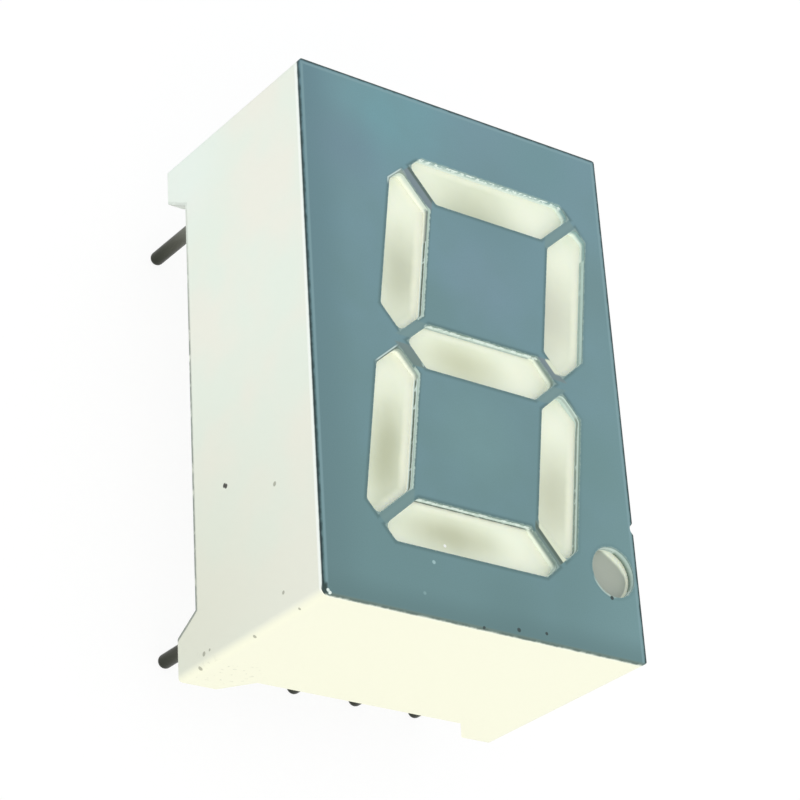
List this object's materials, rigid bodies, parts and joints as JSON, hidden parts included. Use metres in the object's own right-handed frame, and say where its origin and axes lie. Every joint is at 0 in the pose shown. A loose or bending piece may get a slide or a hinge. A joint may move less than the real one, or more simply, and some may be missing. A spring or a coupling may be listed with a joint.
{
  "type": "seven segment display",
  "caption": "Single-digit LED display: white box with a grey printed face, slanted bar windows and a decimal point in cream resin, two rows of round pins and a foot at each corner.",
  "frame": {"origin": "centre of the ten pins' grid, on the seating plane where the four feet stand", "axes": "+Z out of the printed face, +Y towards the top of the digit, +X towards the digit's right side and the decimal point"},
  "size_m": [0.0126, 0.019, 0.011],
  "materials": {
    "white_plastic": "satin moulded white plastic",
    "grey_ink": "matt blue-grey printed ink",
    "window_resin": "milky cast resin, cream and faintly translucent",
    "board_laminate": "white coated laminate board",
    "copper": "gold plated copper, sealed inside",
    "led_chip": "polished semiconductor chip, sealed inside",
    "gold_wire": "bright gold bond wire, sealed inside",
    "tinned_pin": "dull tinned wire",
    "back_resin": "glossy off-white sealing resin"
  },
  "bodies": {
    "root": {"housing": "white_plastic", "face_mask": "grey_ink", "segment_a": "window_resin", "segment_b": "window_resin", "segment_c": "window_resin", "segment_d": "window_resin", "segment_e": "window_resin", "segment_f": "window_resin", "segment_g": "window_resin", "decimal_point": "window_resin", "circuit_board": "board_laminate", "copper_tracks": "copper", "led_a": "led_chip", "led_b": "led_chip", "led_c": "led_chip", "led_d": "led_chip", "led_e": "led_chip", "led_f": "led_chip", "led_g": "led_chip", "led_dp": "led_chip", "bond_wire_a": "gold_wire", "bond_wire_b": "gold_wire", "bond_wire_c": "gold_wire", "bond_wire_d": "gold_wire", "bond_wire_e": "gold_wire", "bond_wire_f": "gold_wire", "bond_wire_g": "gold_wire", "bond_wire_dp": "gold_wire", "pin_1": "tinned_pin", "pin_2": "tinned_pin", "pin_3": "tinned_pin", "pin_4": "tinned_pin", "pin_5": "tinned_pin", "pin_6": "tinned_pin", "pin_7": "tinned_pin", "pin_8": "tinned_pin", "pin_9": "tinned_pin", "pin_10": "tinned_pin", "back_resin": "back_resin"}
  },
  "joints": []
}
